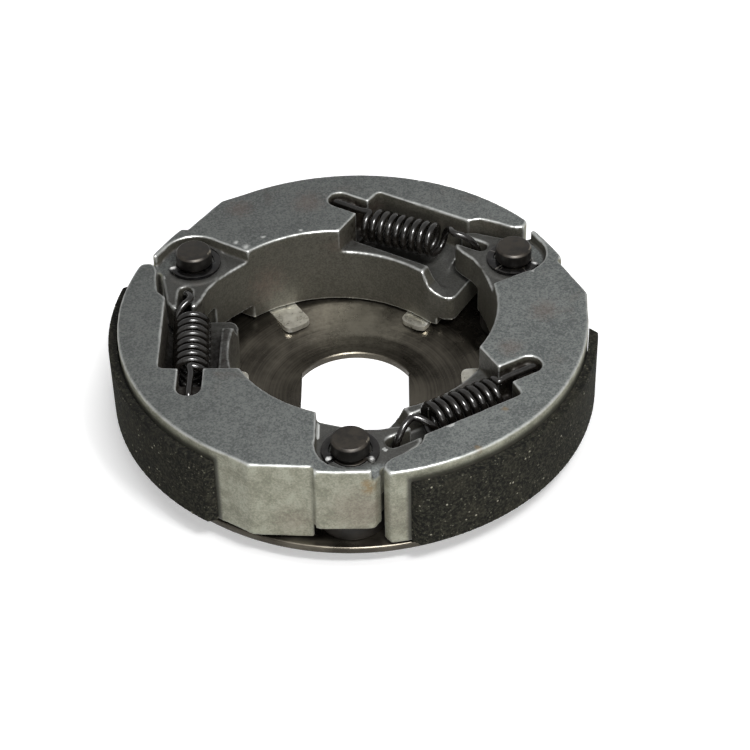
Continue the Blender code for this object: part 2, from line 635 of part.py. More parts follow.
def build():
    clear_scene()
    cast = material("cast_aluminium", (0.42, 0.43, 0.40), 0.85, 0.55)
    friction = material("friction_lining", (0.055, 0.055, 0.045), 0.0, 0.85)
    plate_steel = material("plate_steel", (0.30, 0.27, 0.23), 0.9, 0.45)
    pin_steel = material("pin_steel", (0.13, 0.11, 0.095), 0.9, 0.4)
    clip_steel = material("clip_steel", (0.09, 0.09, 0.09), 0.95, 0.25)
    spring_steel = material("spring_steel", (0.02, 0.02, 0.022), 0.95, 0.22)
    spacer_steel = material("spacer_steel", (0.06, 0.055, 0.05), 0.6, 0.6)
    rubber = material("damper_rubber", (0.015, 0.015, 0.015), 0.0, 0.8)
    pivot = (0.0, -PIN_CIRCLE_R)
    plate_mesh(plate_steel)
    place(turned("pin", pin_profile(), ROUND_SIDES, pin_steel), "pivot_pin", pivot)
    place(turned("spacer", spacer_profile(), ROUND_SIDES, spacer_steel), "pivot_spacer", pivot)
    low = LUG_TOP_Z + CLIP_SEAT
    place(prism("clip", clip_outline(), low, low + CLIP_T, clip_steel), "retaining_clip", pivot)
    place(shoe_mesh(cast), "shoe", pivot)
    lining = prism("lining", at_pivot(lining_outline()), SHOE_BOTTOM_Z + LINING_BOTTOM,
                   SHOE_TOP_Z - LINING_DROP, friction)
    place(lining, "lining", pivot)
    path = [(x, y + PIN_CIRCLE_R, z) for x, y, z in coil_path()]
    place(wire("spring", path, WIRE_R, WIRE_SIDES, spring_steel), "return_spring", pivot)
    place(turned("post", post_profile(), 20, pin_steel), "damper_post", DAMPER_POS)
    place(turned("rubber", rubber_profile(), 24, rubber), "damper_rubber", DAMPER_POS)


build()
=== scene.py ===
# %% [markdown]
# # Dressing a centrifugal clutch
# The packed CAD model is loaded as a fixed frame. Each visible piece is then made again over its
# CAD node, with the rounded edges, smooth turns and surface finish of the real one. Everything is
# in metres, the clutch axis is Z, and the camera looks at the side where pivot pin 1 stands. TOP is
# the height of the shoes' tops and PIN_RING the radius of the circle of the pins, both in mm.

import bmesh
import bpy
import numpy as np
from mathutils import Matrix, Vector

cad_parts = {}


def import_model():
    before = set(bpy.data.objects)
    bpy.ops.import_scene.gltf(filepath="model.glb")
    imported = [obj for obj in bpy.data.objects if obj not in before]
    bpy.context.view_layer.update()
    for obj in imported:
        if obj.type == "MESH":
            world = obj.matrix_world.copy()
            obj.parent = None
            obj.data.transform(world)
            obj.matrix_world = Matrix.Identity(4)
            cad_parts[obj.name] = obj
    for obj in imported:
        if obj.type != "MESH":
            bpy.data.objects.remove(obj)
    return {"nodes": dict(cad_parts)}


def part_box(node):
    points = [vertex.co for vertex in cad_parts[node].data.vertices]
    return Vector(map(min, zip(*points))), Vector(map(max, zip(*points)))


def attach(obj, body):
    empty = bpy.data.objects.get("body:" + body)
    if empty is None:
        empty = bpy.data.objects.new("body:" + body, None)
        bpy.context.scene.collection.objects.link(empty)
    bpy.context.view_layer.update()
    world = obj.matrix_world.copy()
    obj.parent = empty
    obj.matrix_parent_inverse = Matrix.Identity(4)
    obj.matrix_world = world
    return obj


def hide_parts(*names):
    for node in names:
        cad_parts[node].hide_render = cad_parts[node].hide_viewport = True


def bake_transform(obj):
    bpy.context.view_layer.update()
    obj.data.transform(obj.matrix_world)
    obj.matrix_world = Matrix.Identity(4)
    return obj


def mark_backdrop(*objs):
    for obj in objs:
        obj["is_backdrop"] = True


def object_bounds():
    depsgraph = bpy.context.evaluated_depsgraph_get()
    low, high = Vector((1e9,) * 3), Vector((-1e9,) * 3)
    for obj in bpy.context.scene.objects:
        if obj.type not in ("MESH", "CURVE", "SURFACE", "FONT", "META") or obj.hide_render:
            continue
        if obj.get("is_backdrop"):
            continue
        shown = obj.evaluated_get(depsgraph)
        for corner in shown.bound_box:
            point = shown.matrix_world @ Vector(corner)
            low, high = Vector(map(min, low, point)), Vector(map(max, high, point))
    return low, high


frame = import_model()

MM = 0.001
COPIES = 3
TOP, PIN_RING, PIN_DEG = 25.4, 41.4, (270, 30, 150)
cad_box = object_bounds()

# %% [markdown]
# ## Camera
# The three pins stand 120 degrees apart, which fixes the camera from the photograph alone: its
# height above the shoes' tops, its distance, a slight roll and a shift of the picture.

# %% Camera
LOOK_DOWN_DEG = 39.57
LOOK_ROLL_DEG = -1.89
LOOK_TURN_DEG = 1.83
LOOK_DISTANCE = 466.7 * MM
LOOK_AT = np.array([0.0, 0.0, TOP * MM])
FOCAL_PIXELS = 2153.3
PICTURE = 750
SENSOR_MM = 36.0
CENTRE_PIXEL = (352.37, 312.54)


def unit(v):
    """Vectors along the last axis, brought to length one."""
    return v / np.linalg.norm(v, axis=-1, keepdims=True)


def spin_z(angle):
    """Matrix of a turn about Z by angle in radians: x cos - y sin, x sin + y cos, z."""
    return np.array([[np.cos(angle), -np.sin(angle), 0], [np.sin(angle), np.cos(angle), 0], [0, 0, 1]])


def add(name, data):
    """A new object that carries data, linked into the scene."""
    obj = bpy.data.objects.new(name, data)
    bpy.context.scene.collection.objects.link(obj)
    return obj


def place_camera():
    """Stand the camera on a sphere round LOOK_AT: eye = distance * (0, -cos down, sin down), then
    roll the picture about the line of sight and turn the whole about Z."""
    down, roll, turn = np.radians([LOOK_DOWN_DEG, LOOK_ROLL_DEG, LOOK_TURN_DEG])
    eye = LOOK_DISTANCE * np.array([0.0, -np.cos(down), np.sin(down)])
    ahead = -unit(eye)
    right = unit(np.cross(ahead, [0.0, 0.0, 1.0]))
    up = np.cross(right, ahead)
    side = right * np.cos(roll) + up * np.sin(roll)
    top = -right * np.sin(roll) + up * np.cos(roll)
    spin = spin_z(turn)
    axes = spin @ np.stack([side, top, -ahead], axis=1)
    matrix = np.eye(4)
    matrix[:3, :3] = axes
    matrix[:3, 3] = spin @ eye + LOOK_AT
    data = bpy.data.cameras.new("camera")
    data.sensor_width = SENSOR_MM
    data.lens = FOCAL_PIXELS / PICTURE * data.sensor_width
    data.shift_x = (PICTURE / 2 - CENTRE_PIXEL[0]) / PICTURE
    data.shift_y = (CENTRE_PIXEL[1] - PICTURE / 2) / PICTURE
    data.clip_start, data.clip_end = 0.01, 20.0
    camera = add("camera", data)
    camera.matrix_world = Matrix(matrix.tolist())
    bpy.context.scene.camera = camera
    return camera


camera = place_camera()
print("camera at", [round(v / MM, 1) for v in camera.matrix_world.translation], "mm")

# %% [markdown]
# ## Node materials in short
# A finish is a chain of small nodes. Nodes adds one node a call and hands back its output, and Finish
# adds patterns, so that a material below reads like a recipe: coordinates, patterns, colours, shader.


# %% Node helpers
class Nodes:
    """Adds nodes to a tree, one a call, and hands back their outputs."""

    def __init__(self, tree):
        self.tree = tree

    def node(self, kind, links=(), **settings):
        """Add a node, set its properties, and feed inputs from sockets or plain values."""
        made = self.tree.nodes.new(kind)
        for key, value in settings.items():
            setattr(made, key, value)
        for key, value in dict(links).items():
            self.feed(made.inputs[key], value)
        return made

    def feed(self, socket, value):
        """Link a socket, or set a constant."""
        if isinstance(value, bpy.types.NodeSocket):
            self.tree.links.new(value, socket)
        else:
            socket.default_value = (*value, 1.0) if socket.type == "RGBA" else value

    def maths(self, kind, a, b=0.0):
        """One arithmetic step on two numbers."""
        return self.node("ShaderNodeMath", {0: a, 1: b}, operation=kind).outputs["Value"]

    def plus(self, a, b):
        return self.maths("ADD", a, b)

    def minus(self, a, b):
        return self.maths("SUBTRACT", a, b)

    def times(self, a, b):
        return self.maths("MULTIPLY", a, b)

    def most(self, a, b):
        return self.maths("MAXIMUM", a, b)

    def without(self, value, mask):
        """A value held back where a mask is 1."""
        return self.times(value, self.minus(1.0, mask))

    def ramp(self, value, low, high, to_low=0.0, to_high=1.0, step="SMOOTHSTEP"):
        """Goes from to_low to to_high as value goes from low to high, smoothly or LINEAR."""
        links = {"Value": value, "From Min": low, "From Max": high, "To Min": to_low, "To Max": to_high}
        return self.node("ShaderNodeMapRange", links, interpolation_type=step).outputs["Result"]

    def blend(self, factor, a, b):
        """Colour a turns into colour b as factor goes from 0 to 1."""
        made = self.node("ShaderNodeMix", data_type="RGBA")
        colour_a, colour_b = [s for s in made.inputs if s.type == "RGBA"]
        self.feed(made.inputs["Factor"], factor)
        self.feed(colour_a, a)
        self.feed(colour_b, b)
        return [s for s in made.outputs if s.type == "RGBA"][0]

    def vector(self, kind, a, b=(0.0, 0.0, 0.0), out="Value"):
        """One step on two vectors; hands back a number, or a vector where out says so."""
        return self.node("ShaderNodeVectorMath", {0: a, 1: b}, operation=kind).outputs[out]

    def parts(self, vector):
        """The three numbers of a vector."""
        return self.node("ShaderNodeSeparateXYZ", {"Vector": vector}).outputs


print("node helpers for any tree:", [name for name in vars(Nodes) if name[0] != "_"])


# %% Material helper
class Finish(Nodes):
    """A Principled material whose patterns read Object coordinates."""

    def __init__(self, name):
        self.material = bpy.data.materials.new(name)
        self.material.use_nodes = True
        super().__init__(self.material.node_tree)
        self.shader = self.tree.nodes["Principled BSDF"]
        coordinates = self.node("ShaderNodeTexCoord").outputs
        self.place, self.facing = coordinates["Object"], coordinates["Normal"]

    def noise(self, scale, detail=2.0, rough=0.5, place=None, warp=0.0):
        """Cloudy noise; scale is in patches a metre."""
        links = {"Vector": place or self.place, "Scale": scale, "Detail": detail,
                 "Roughness": rough, "Distortion": warp}
        return self.node("ShaderNodeTexNoise", links).outputs["Fac"]

    def cells(self, scale):
        """Distance to the nearest of scattered points."""
        return self.node("ShaderNodeTexVoronoi", {"Vector": self.place, "Scale": scale}).outputs["Distance"]

    def radius(self):
        """Distance from the clutch axis, for marks left by turning."""
        return self.vector("LENGTH", self.vector("MULTIPLY", self.place, (1.0, 1.0, 0.0), "Vector"))

    def pointiness(self):
        """How sharply the surface bends: 0.5 on the flat, more on edges, less in corners."""
        return self.node("ShaderNodeNewGeometry").outputs["Pointiness"]

    def spot(self, place, size, strength):
        """A ragged patch about a place; place and size are in mm, strength is reached in the middle."""
        away = self.vector("DISTANCE", self.place, tuple(v * MM for v in place))
        ragged = self.plus(away, self.times(self.noise(900, 3.0, 0.7), 1.6 * size * MM))
        return self.ramp(ragged, 1.9 * size * MM, 0.9 * size * MM, 0.0, strength)

    def bump(self, height, strength, depth):
        """Bump of the given depth in metres."""
        links = {"Height": height, "Strength": strength, "Distance": depth}
        self.feed(self.shader.inputs["Normal"], self.node("ShaderNodeBump", links).outputs["Normal"])

    def done(self, **inputs):
        """Feed the shader and hand back the material."""
        for key, value in inputs.items():
            self.feed(self.shader.inputs[key.replace("_", " ").title().replace("Ior", "IOR")], value)
        return self.material


print("material helper adds", [name for name in vars(Finish) if name[0] != "_"])

# %% [markdown]
# ## Cast aluminium
# The shoes are die cast: a fine sandy skin on the top and paler metal where edges have rubbed.
# Painted shade darkens hollows, pockets, inner corners and the tops towards the far left, and in
# part the inner wall. Pointiness is how sharply the surface bends, so it finds both rubbed edges
# and inner corners. A mark that belongs to one place is a spot in mm: x, y, z and size. Scuffs all
# lie at TOP and leave z out.

# %% Marks on the castings
RIM_R, RIM_FULL_R = 44.5 * MM, 46.5 * MM
BOND_MIDDLE_DEG, BOND_HALF_DEG, BOND_REPEAT = 200.5, 36.8, 2 * np.pi / COPIES
SCUFFS = [(-24.3, 23.7, 1.1), (-26.6, 25.4, 0.8), (-20.5, 27.3, 0.7), (-12.0, 29.6, 0.6)]
RUST = [(31.7, -31.6, TOP, 0.9), (25.6, -43.2, 25.0, 1.1), (3.3, -49.8, 22.4, 1.5), (3.8, -49.6, 20.6, 2.0)]
# Spots of painted shade deep in the spring pockets and hook slots: x, y, z and size in mm.
POCKET_SHADE_SPOTS = [(-35.0, -13.5, 18.0, 13.0), (-35.0, -7.0, 18.0, 13.0), (-35.0, -0.5, 18.0, 13.0),
         (-34.0, -23.5, 20.5, 12.5), (37.35, -17.7, 20.5, 12.5), (-3.35, 41.2, 20.5, 12.5)]
STAINS = [(41.7, 0.0, TOP, 4.0), (33.6, -12.3, TOP, 3.5), (-26.4, 38.1, TOP, 4.0),
          (-10.7, 40.2, TOP, 5.0), (39.0, 22.0, TOP, 3.0), (-12.0, -50.0, 10.0, 6.0),
          (1.0, -50.0, 15.0, 8.0), (-22.0, 27.0, 14.0, 7.0)]


def below(f, start, end, low=0.0, high=1.0):
    """Runs from low to high as the surface drops from start to end mm below the shoes' tops."""
    return f.ramp(f.parts(f.place)["Z"], (TOP - start) * MM, (TOP - end) * MM, low, high)


def cast_zones(f):
    """up is 1 on faces that look up. rim is 1 on the outer wall: far out, and facing outwards."""
    up = f.ramp(f.parts(f.facing)["Z"], 0.55, 0.9)
    outward = f.maths("DIVIDE", f.vector("DOT_PRODUCT", f.facing, f.place), f.radius())
    return up, f.times(f.ramp(f.radius(), RIM_R, RIM_FULL_R), f.ramp(outward, 0.05, 0.45))


def bond_line(f, rim):
    """Dark line where the lining is bonded. The angle about the clutch axis is folded onto one shoe."""
    plan = f.parts(f.place)
    turn = f.minus(f.maths("ARCTAN2", plan["Y"], plan["X"]), np.radians(BOND_MIDDLE_DEG))
    folded = f.maths("FLOORED_MODULO", f.plus(turn, BOND_REPEAT / 2), BOND_REPEAT)
    off = f.maths("ABSOLUTE", f.minus(folded, BOND_REPEAT / 2))
    line = f.ramp(off, np.radians(BOND_HALF_DEG + 1.4), np.radians(BOND_HALF_DEG + 0.2))
    return f.times(f.times(line, below(f, 0.9, 2.7, 0.0, 0.85)), rim)


print("marks", len(SCUFFS), "scuffs", len(RUST), "rust", len(POCKET_SHADE_SPOTS), "pocket_shade_spots", len(STAINS), "stains")


# %% Cast aluminium
TOP_DARK, TOP_LIGHT = (0.084, 0.093, 0.091), (0.200, 0.213, 0.204)
WALL_DARK, WALL_LIGHT = (0.182, 0.182, 0.135), (0.342, 0.342, 0.268)
# Inner wall colours: partly the wall's own duller tone, partly painted shade.
INNER_SHADE_DARK, INNER_SHADE_LIGHT = (0.056, 0.053, 0.040), (0.104, 0.099, 0.078)
# Painted shade colours: faces below the tops, deep in the pockets, and the tops towards the far left.
SUNK_SHADE_COLOUR, POCKET_SHADE_COLOUR, FAR_LEFT_SHADE_COLOUR = (0.028, 0.024, 0.019), (0.010, 0.006, 0.004), (0.030, 0.029, 0.026)
FILM_COLOUR, STAIN_COLOUR, RUST_COLOUR = (0.120, 0.088, 0.070), (0.150, 0.098, 0.076), (0.210, 0.130, 0.045)
BOND_COLOUR, CORNER_SHADE_COLOUR, BARE_COLOUR = (0.020, 0.019, 0.014), (0.016, 0.013, 0.010), (0.62, 0.63, 0.61)


def cast_colour(f, sand, pebble, up, rim):
    """Grainy top, patchy outer wall, inner wall darker by tone and painted shade, painted shade below the
    tops.
    """
    cloud = f.noise(110, 3.0, 0.6)
    grain = f.plus(f.times(sand, 0.62), f.times(pebble, 0.22))
    mottle = f.ramp(f.plus(grain, f.times(cloud, 0.16)), 0.40, 0.60)
    patchy = f.plus(f.times(sand, 0.45), f.times(f.noise(260, 4.0, 0.65), 0.55))
    top = f.blend(mottle, TOP_DARK, TOP_LIGHT)
    wall = f.blend(f.ramp(patchy, 0.38, 0.62), WALL_DARK, WALL_LIGHT)
    # Inner wall: own duller tone plus painted shade.
    inner = f.blend(mottle, INNER_SHADE_DARK, INNER_SHADE_LIGHT)
    colour = f.blend(up, f.blend(rim, inner, wall), top)
    # Painted shade on faces below the tops: stronger the deeper they lie, weaker on upright faces, none on
    # the outer wall.
    sunk_shade = f.without(f.most(below(f, 0.4, 2.6, 0.0, 0.76), below(f, 3.0, 11.0, 0.0, 0.55)), rim)
    sunk_shade = f.times(sunk_shade, f.ramp(up, 0.0, 0.6, 0.35, 1.0))
    return f.blend(sunk_shade, colour, SUNK_SHADE_COLOUR)


def painted_pocket_shade(f, rim):
    """Painted shade deep in the spring pockets and hook slots: near 1 in the listed spots, 0 on the shoes'
    tops and outer walls.
    """
    pocket_shade = 0.0
    for x, y, z, size in POCKET_SHADE_SPOTS:
        pocket_shade = f.most(pocket_shade, f.spot((x, y, z), size, 1.0))
    return f.without(f.times(pocket_shade, below(f, 0.5, 1.6, 0.0, 0.92)), rim)


def dirt_and_painted_shade(f, colour, up, rim, pocket_shade):
    """Painted shade deep in the pockets and on the tops towards the far left, then brown film, stains, rust
    and bond line.
    """
    # Painted shade deep in the pockets.
    colour = f.blend(pocket_shade, colour, POCKET_SHADE_COLOUR)
    plan = f.parts(f.place)
    # Painted shade that darkens the tops towards the far left.
    away = f.minus(f.times(plan["Y"], 0.35), f.times(plan["X"], 0.9))
    far_left_shade = f.times(up, f.ramp(away, -40 * MM, 45 * MM, 0.0, 0.30))
    colour = f.blend(far_left_shade, colour, FAR_LEFT_SHADE_COLOUR)
    film = f.ramp(f.noise(75, 4.0, 0.65, warp=0.5), 0.55, 0.75, 0.0, 0.34)
    colour = f.blend(film, colour, FILM_COLOUR)
    for x, y, z, size in STAINS:
        colour = f.blend(f.spot((x, y, z), size, 0.34), colour, STAIN_COLOUR)
    for x, y, z, size in RUST:
        colour = f.blend(f.spot((x, y, z), size, 0.60), colour, RUST_COLOUR)
    return f.blend(bond_line(f, rim), colour, BOND_COLOUR)


def wear(f, bend, rim, pocket_shade):
    """1 on rubbed edges and scuffs, held back on the outer wall's upright edges and in the pockets."""
    worn = f.times(f.ramp(bend, 0.512, 0.555), f.ramp(f.noise(420, 2.0), 0.28, 0.52, 0.45, 1.0))
    worn = f.without(worn, f.times(f.times(rim, below(f, 1.2, 2.0)), 0.85))
    worn = f.without(worn, f.times(pocket_shade, 0.9))
    for x, y, size in SCUFFS:
        worn = f.most(worn, f.spot((x, y, TOP), size, 1.0))
    return worn


def cast_aluminium():
    """Colour by zone, dirt, painted shade in hollows and inner corners, pale rubbed edges; a sandy bump
    over all.
    """
    f = Finish("cast_aluminium")
    sand, pebble = f.noise(2300, 3.0, 0.7), f.noise(850, 3.0, 0.6)
    up, rim = cast_zones(f)
    pocket_shade = painted_pocket_shade(f, rim)
    colour = dirt_and_painted_shade(f, cast_colour(f, sand, pebble, up, rim), up, rim, pocket_shade)
    bend = f.pointiness()
    # Painted shade in inner corners, where the surface bends inwards.
    colour = f.blend(f.ramp(bend, 0.50, 0.43, 0.0, 0.75), colour, CORNER_SHADE_COLOUR)
    worn = wear(f, bend, rim, pocket_shade)
    colour = f.blend(f.times(worn, 0.8), colour, BARE_COLOUR)
    f.bump(f.plus(sand, f.times(pebble, 0.8)), 0.45, 0.00006)
    return f.done(base_color=colour, metallic=f.ramp(worn, 0.0, 1.0, 0.15, 0.55),
                  roughness=f.ramp(worn, 0.0, 1.0, 0.52, 0.30),
                  specular_ior_level=f.ramp(pocket_shade, 0.0, 1.0, 0.3, 0.05))


casting = cast_aluminium()
print("cast aluminium", len(casting.node_tree.nodes), "nodes")

# %% [markdown]
# ## Friction lining, steels and rubber
# The lining is pressed compound: dark, matt and rough, with pale specks of metal and fibre. The
# steels differ by colour and gloss, and what was turned in a lathe carries fine rings. Two spots
# carry a painted highlight: the dish behind the bore and the tips of the clips' prongs. Pins and
# posts get painted shade on their upright sides, and pale steel edges are part rubbed, part painted
# highlight.


# %% Friction lining
CRUMB_DARK, CRUMB_LIGHT, CLOUD_COLOUR = (0.005, 0.005, 0.004), (0.047, 0.046, 0.033), (0.046, 0.043, 0.030)
FINE_COLOUR, SPECK_COLOUR = (0.125, 0.122, 0.090), (0.46, 0.44, 0.34)


def friction_lining():
    """Dark crumbs under a paler cloud, then fine and coarse pale specks, with a deep bump."""
    f = Finish("friction_lining")
    crumb = f.noise(1500, 4.0, 0.75)
    cloud = f.noise(160, 3.0, 0.6)
    colour = f.blend(f.ramp(crumb, 0.42, 0.66), CRUMB_DARK, CRUMB_LIGHT)
    colour = f.blend(f.ramp(cloud, 0.45, 0.7, 0.0, 0.3), colour, CLOUD_COLOUR)
    fine = f.times(f.ramp(f.cells(1300), 0.34, 0.16), f.ramp(f.noise(900, 1.0), 0.52, 0.62))
    colour = f.blend(fine, colour, FINE_COLOUR)
    speck = f.times(f.ramp(f.cells(560), 0.17, 0.07), f.ramp(f.noise(330, 1.0), 0.56, 0.62))
    colour = f.blend(speck, colour, SPECK_COLOUR)
    f.bump(f.plus(crumb, f.noise(600, 3.0)), 0.9, 0.00014)
    return f.done(base_color=colour, metallic=0.0, roughness=0.95, specular_ior_level=0.08)


compound = friction_lining()
print("friction lining", len(compound.node_tree.nodes), "nodes")


# %% Steels and rubber
# Painted highlights: a sheen on the dish behind the bore, and glints on the clips' prong tips.
DISH_HIGHLIGHT_SPOT, DISH_HIGHLIGHT_SIZE = (1.0, 24.0, 4.5), 15.0
TIP_R, TIP_Z, GLINT_SIZE, TIP_OFF_DEG = 5.2, 23.6, 0.85, 55.0
DISH_HIGHLIGHT_COLOUR, GLINT_COLOUR = (0.130, 0.120, 0.094), (0.95, 0.95, 0.93)
# Painted shade on the upright sides of pins and posts.
SIDE_SHADE_COLOUR = (0.004, 0.004, 0.004)


def clip_glint_places():
    """Places in mm of the six painted glints on the prong tips: a pin's axis at angle p, then TIP_R on at p
    - off or p + off.
    """
    return [(PIN_RING * np.cos(p) + TIP_R * np.cos(p + off),
             PIN_RING * np.sin(p) + TIP_R * np.sin(p + off), TIP_Z)
            for p in np.radians(PIN_DEG) for off in np.radians([-TIP_OFF_DEG, TIP_OFF_DEG])]


def turned_steel(name, dark, light, metallic, rough, ring_scale, ring_depth):
    """Steel with rings about the clutch axis: noise that changes with radius and hardly with angle."""
    f = Finish(name)
    rings = {"X": f.times(f.radius(), ring_scale), "Y": f.times(f.noise(30, 1.0), 2.0)}
    ring = f.noise(1.0, 2.0, 0.6, place=f.node("ShaderNodeCombineXYZ", rings).outputs["Vector"])
    cloud = f.noise(110, 4.0, 0.6)
    mottle = f.plus(f.times(ring, 0.45), f.times(cloud, 0.55))
    colour = f.blend(f.ramp(mottle, 0.36, 0.64), dark, light)
    # Painted highlight on the dish behind the bore.
    colour = f.blend(f.spot(DISH_HIGHLIGHT_SPOT, DISH_HIGHLIGHT_SIZE, 0.7), colour, DISH_HIGHLIGHT_COLOUR)
    f.bump(f.plus(ring, f.times(f.noise(2500, 2.0), 0.4)), 0.3, ring_depth)
    gloss = f.ramp(cloud, 0.3, 0.7, rough - 0.06, rough + 0.1)
    return f.done(base_color=colour, metallic=metallic, roughness=gloss)


def plain_steel(name, dark, light, metallic, rough, scale, depth,
                edge=None, side_shade=0.0, shine=0.3, tips=()):
    """Steel with cloudy colour and slightly uneven gloss. Edge is the colour of bent edges, part rubbed
    metal and part painted highlight. The argument after edge darkens the upright faces by that much,
    as painted shade. Shine is how strongly the surface mirrors, and tips are places in mm that get a
    painted glint."""
    f = Finish(name)
    cloud = f.noise(scale, 4.0, 0.6)
    colour = f.blend(f.ramp(cloud, 0.35, 0.65), dark, light)
    # Painted shade on upright faces.
    if side_shade:
        upright = f.ramp(f.parts(f.facing)["Z"], 0.6, 0.2, 0.0, side_shade)
        colour = f.blend(upright, colour, SIDE_SHADE_COLOUR)
    # Pale bent edges: partly rubbed metal, partly painted highlight.
    if edge:
        colour = f.blend(f.ramp(f.pointiness(), 0.53, 0.60), colour, edge)
    # Painted glints at the given places.
    for place in tips:
        colour = f.blend(f.spot(place, GLINT_SIZE, 1.0), colour, GLINT_COLOUR)
    f.bump(f.noise(scale * 8, 3.0), 0.25, depth)
    gloss = f.ramp(cloud, 0.3, 0.7, rough - 0.05, rough + 0.08)
    return f.done(base_color=colour, metallic=metallic, roughness=gloss, specular_ior_level=shine)


FINISHES = {
    "cast_aluminium": casting,
    "friction_lining": compound,
    "plate_steel": turned_steel("plate_steel", (0.030, 0.026, 0.020), (0.074, 0.066, 0.052), 0.85, 0.30,
                                ring_scale=2600, ring_depth=0.00001),
    "tongue_steel": plain_steel("tongue_steel", (0.52, 0.50, 0.43), (0.78, 0.76, 0.68), 0.7, 0.30,
                                scale=300, depth=0.00002, edge=(0.90, 0.89, 0.84)),
    "pin_steel": plain_steel("pin_steel", (0.009, 0.007, 0.005), (0.024, 0.019, 0.013), 0.4, 0.42,
                             scale=420, depth=0.00003, edge=(0.16, 0.14, 0.11), side_shade=0.7),
    "clip_steel": plain_steel("clip_steel", (0.006, 0.006, 0.007), (0.018, 0.017, 0.016), 0.6, 0.18,
                              scale=300, depth=0.00001, edge=(0.12, 0.11, 0.10), shine=0.35,
                              tips=clip_glint_places()),
    "spring_steel": plain_steel("spring_steel", (0.006, 0.005, 0.004), (0.014, 0.012, 0.010), 0.0, 0.22,
                                scale=350, depth=0.00001, shine=0.32),
    "spacer_steel": plain_steel("spacer_steel", (0.008, 0.007, 0.006), (0.022, 0.019, 0.016), 0.3, 0.5,
                                scale=260, depth=0.00003),
    "damper_rubber": plain_steel("damper_rubber", (0.010, 0.010, 0.010), (0.022, 0.021, 0.020), 0.0, 0.75,
                                 scale=240, depth=0.00003),
}
print("finishes", sorted(FINISHES))

# %% [markdown]
# ## Surfaces from arrays
# A new piece is one array of points, laid out as a grid: one index runs round its section and
# the other along it. Faces join neighbours in the grid, and rows that meet in one point close it.


# %% Mesh helpers
def surface(name, points, finish, wrap=(False, True), smooth_deg=40.0):
    """A grid of points, shape (rows, columns, 3), as a mesh. wrap says which index closes on itself.
    Points that fall together are merged, so a row of equal points is a pole, and faces turn outwards."""
    rows, columns = points.shape[:2]
    index = np.arange(rows * columns).reshape(rows, columns)
    if wrap[0]:
        index = np.vstack([index, index[:1]])
    if wrap[1]:
        index = np.hstack([index, index[:, :1]])
    quads = np.stack([index[:-1, :-1], index[:-1, 1:], index[1:, 1:], index[1:, :-1]], axis=-1)
    mesh = bpy.data.meshes.new(name)
    mesh.from_pydata(points.reshape(-1, 3).tolist(), [], quads.reshape(-1, 4).tolist())
    tidy(mesh)
    mesh.materials.append(FINISHES[finish])
    mesh.shade_smooth()
    mesh.set_sharp_from_angle(angle=np.radians(smooth_deg))
    return add(name, mesh)


def tidy(mesh, reach=2e-7):
    """Merge points closer than reach and turn every face outwards."""
    bm = bmesh.new()
    bm.from_mesh(mesh)
    bmesh.ops.remove_doubles(bm, verts=bm.verts, dist=reach)
    bmesh.ops.recalc_face_normals(bm, faces=bm.faces)
    bm.to_mesh(mesh)
    bm.free()


def soften(corners, radius, steps=5, closed=False):
    """Round a polyline's corners: near corner C the curve is (1-t)^2 A + 2 t (1-t) C + t^2 B, where A
    and B lie up to radius away along the two edges."""
    c = np.asarray(corners, float)
    back, ahead = np.roll(c, 1, axis=0) - c, np.roll(c, -1, axis=0) - c
    reach = [np.minimum(radius, 0.48 * np.linalg.norm(v, axis=1))[:, None] for v in (back, ahead)]
    a, b = c + unit(back + 1e-12) * reach[0], c + unit(ahead + 1e-12) * reach[1]
    t = np.linspace(0, 1, steps)[:, None]
    curve = (1 - t) ** 2 * a[:, None] + 2 * t * (1 - t) * c[:, None] + t ** 2 * b[:, None]
    if closed:
        return curve.reshape(-1, c.shape[1])
    return np.concatenate([c[:1], curve[1:-1].reshape(-1, c.shape[1]), c[-1:]])


def revolve(profile, sides, centre=(0.0, 0.0)):
    """Grid of a (radius, z) profile turned about Z: x = r cos a + cx, y = r sin a + cy."""
    a = np.linspace(0, 2 * np.pi, sides, endpoint=False)
    r, z = np.asarray(profile).T[:, :, None]
    x, y = r * np.cos(a) + centre[0], r * np.sin(a) + centre[1]
    return np.stack([x, y, np.broadcast_to(z, x.shape)], axis=-1)


def gathered(row):
    """A row of a grid drawn together in its middle, which closes that end."""
    return row.mean(axis=1, keepdims=True).repeat(row.shape[1], axis=1)


def turned_by(points, copy):
    """Points turned about the clutch axis to the place of copy 1, 2 or 3."""
    return points @ spin_z(2 * np.pi / COPIES * (copy - 1)).T


def span_z(node):
    """Lowest and highest z of a CAD node."""
    return [corner[2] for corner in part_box(node)]


def dress(obj, body, slot, *nodes):
    """Attach a finished piece to its body and hide the CAD nodes it stands for. slot is not used."""
    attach(obj, body)
    if nodes:
        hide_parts(*nodes)
    return obj


print("shoe_1 spans z", [round(z / MM, 2) for z in span_z("shoe_1")], "mm")

# %% [markdown]
# ## Shoes
# A casting has no sharp edge. The CAD shoe is copied, its loose triangles are merged, and a voxel
# remesh lays an even skin over it; a few smoothing passes then round edges and inner corners alike.
# The lug's free corner is rounded further, about the middle C of its end.

# %% Shoes
CAST_VOXEL = 0.36 * MM
CAST_PASSES = 3
LUG_C, LUG_R, LUG_REACH = np.array([3.2, -46.85]) * MM, 3.1 * MM, 4.2 * MM
LUG_FROM_DEG, LUG_TO_DEG, LUG_BACK_DEG = -90, 20, 18
LUG_STEP_DEG, LUG_WINDOW_DEG = 4, 7
LUG_WALL_LOW, LUG_WALL_HIGH = 9 * MM, 20 * MM


